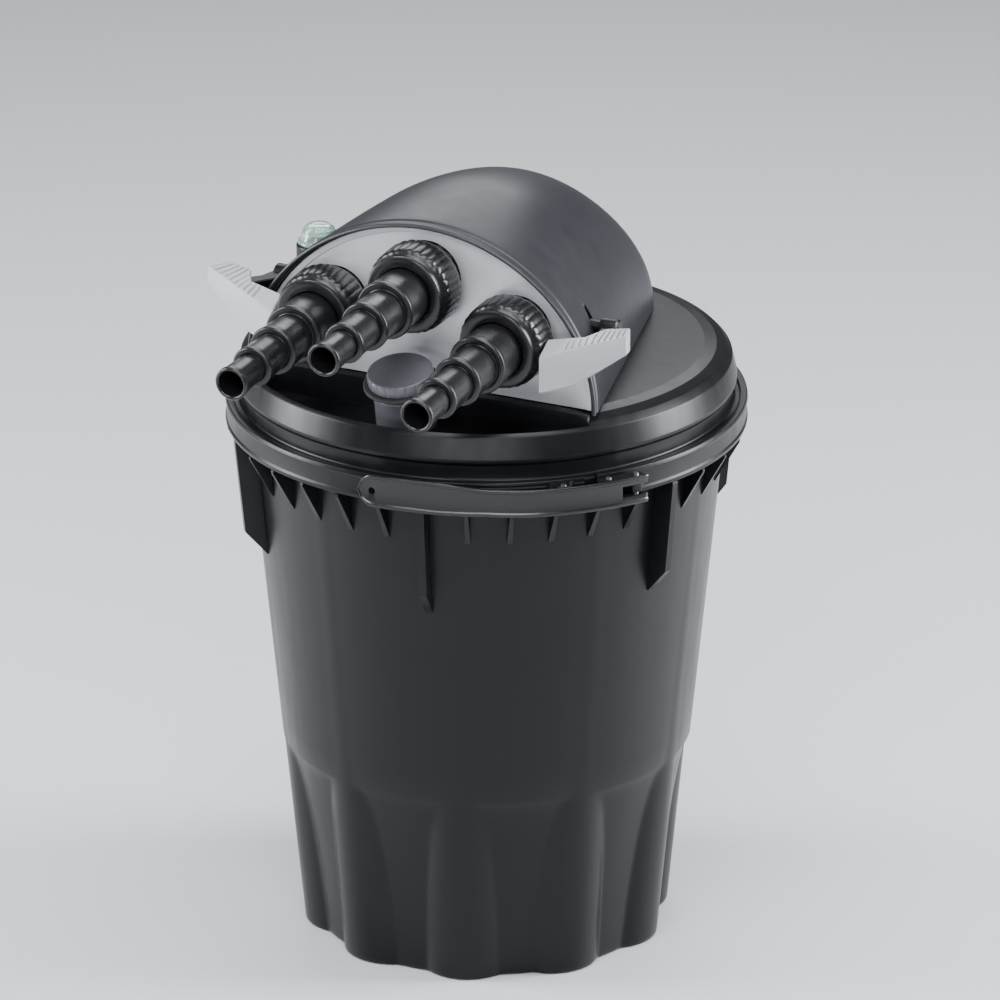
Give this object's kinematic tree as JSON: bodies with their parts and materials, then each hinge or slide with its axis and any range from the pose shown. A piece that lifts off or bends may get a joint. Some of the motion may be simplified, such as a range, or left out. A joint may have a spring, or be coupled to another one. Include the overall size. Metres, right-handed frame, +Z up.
{
  "type": "pressurized pond filter",
  "caption": "Tapered black barrel with a clamped lid, a hooded valve head with stepped hose tails and winged selector grips, and a foam stack with an ultraviolet clarifier inside.",
  "frame": {"origin": "centre of the barrel's foot circle, on the floor", "axes": "+Z up, hose tails point along -Y, the clamp lever's hinge is on the +X side"},
  "size_m": [0.3792, 0.4521, 0.5787],
  "materials": {
    "black_plastic": "satin injection-moulded plastic, fine grain",
    "hood_plastic": "satin injection-moulded plastic, smoother than the barrel",
    "panel_grey": "silver-grey satin paint on plastic",
    "grip_grey": "light grey matt plastic",
    "inner_plastic": "plain black plastic",
    "rotor_grey": "grey low-friction plastic",
    "steel": "stainless pin stock",
    "rubber": "moulded seal rubber",
    "clear_dome": "clear plastic with a green cast",
    "quartz": "clear quartz",
    "blue_foam": "open-cell filter foam",
    "black_foam": "open-cell filter foam, finer"
  },
  "bodies": {
    "base": {"ballast_box": "inner_plastic", "barrel": "black_plastic", "barrel_seal": "rubber", "base_grid": "inner_plastic", "bleed_seal": "rubber", "bleed_turret": "black_plastic", "cable_gland": "black_plastic", "clamp_band": "black_plastic", "clamp_catch_lug": "black_plastic", "clamp_catch_pin": "steel", "clamp_pivot_lug": "black_plastic", "clamp_pivot_pin": "steel", "foam_ring_1": "blue_foam", "foam_ring_2": "black_foam", "foam_ring_3": "blue_foam", "foam_ring_4": "black_foam", "foam_ring_5": "blue_foam", "front_panel": "panel_grey", "gland_nut": "black_plastic", "hood_cover": "hood_plastic", "inner_tube": "inner_plastic", "lamp_holder": "inner_plastic", "lid": "black_plastic", "port_socket_left": "black_plastic", "port_socket_middle": "black_plastic", "port_socket_right": "black_plastic", "pressure_plate": "inner_plastic", "quartz_sleeve": "quartz", "sight_boss": "black_plastic", "sight_dome": "clear_dome", "sleeve_nut": "inner_plastic", "sleeve_seal": "rubber", "tail_seal_left": "rubber", "tail_seal_middle": "rubber", "tail_seal_right": "rubber", "tube_nut": "inner_plastic", "uv_lamp": "quartz", "valve_end_cap": "inner_plastic", "valve_housing": "inner_plastic"},
    "clamp_lever": {"clamp_lever": "black_plastic", "clamp_link_pin": "steel"},
    "clamp_link": {"clamp_link": "steel"},
    "selector": {"selector_shaft": "steel", "selector_lever_left": "grip_grey", "selector_lever_right": "grip_grey", "valve_rotor": "rotor_grey"},
    "bleed": {"bleed_cap": "black_plastic"},
    "tail_left": {"hose_tail_left": "black_plastic"},
    "nut_left": {"union_nut_left": "black_plastic"},
    "tail_middle": {"hose_tail_middle": "black_plastic"},
    "nut_middle": {"union_nut_middle": "black_plastic"},
    "tail_right": {"hose_tail_right": "black_plastic"},
    "nut_right": {"union_nut_right": "black_plastic"}
  },
  "joints": [
    {"name": "clamp_lever_swing", "type": "hinge", "parent": "base", "child": "clamp_lever", "pos_m": [0.16961, -0.10598, 0.4], "axis": [0, 0, 1], "range_deg": [0, 140]},
    {"name": "clamp_link_swing", "type": "hinge", "parent": "clamp_lever", "child": "clamp_link", "pos_m": [0.15563, -0.12159, 0.4], "axis": [0, 0, 1], "range_deg": [-58, 0]},
    {"name": "selector_turn", "type": "hinge", "parent": "base", "child": "selector", "pos_m": [0, -0.066, 0.5], "axis": [-1, 0, 0], "range_deg": [0, 30]},
    {"name": "bleed_cap_turn", "type": "hinge", "parent": "base", "child": "bleed", "pos_m": [0, -0.141, 0.4725], "axis": [0, -0.2419, 0.9703], "range_deg": [0, 90]},
    {"name": "tail_draw_left", "type": "slide", "parent": "base", "child": "tail_left", "axis": [0, -0.9986, -0.0523], "range_m": [0, 0.0081]},
    {"name": "union_nut_spin_left", "type": "hinge", "parent": "tail_left", "child": "nut_left", "pos_m": [-0.0728, -0.1353, 0.4972], "axis": [0, -0.9986, -0.0523], "range_deg": [0, 720]},
    {"name": "tail_draw_middle", "type": "slide", "parent": "base", "child": "tail_middle", "axis": [0, -0.9986, -0.0523], "range_m": [0, 0.0081]},
    {"name": "union_nut_spin_middle", "type": "hinge", "parent": "tail_middle", "child": "nut_middle", "pos_m": [0, -0.135, 0.5268], "axis": [0, -0.9986, -0.0523], "range_deg": [0, 720]},
    {"name": "tail_draw_right", "type": "slide", "parent": "base", "child": "tail_right", "axis": [0, -0.9986, -0.0523], "range_m": [0, 0.0081]},
    {"name": "union_nut_spin_right", "type": "hinge", "parent": "tail_right", "child": "nut_right", "pos_m": [0.0728, -0.1353, 0.4972], "axis": [0, -0.9986, -0.0523], "range_deg": [0, 720]}
  ],
  "couplings": [
    {"joint": "clamp_link_swing", "follows": "clamp_lever_swing", "ratio": -0.4},
    {"joint": "tail_draw_left", "follows": "union_nut_spin_left", "m_per_rad": 0.00063662},
    {"joint": "tail_draw_middle", "follows": "union_nut_spin_middle", "m_per_rad": 0.00063662},
    {"joint": "tail_draw_right", "follows": "union_nut_spin_right", "m_per_rad": 0.00063662}
  ]
}
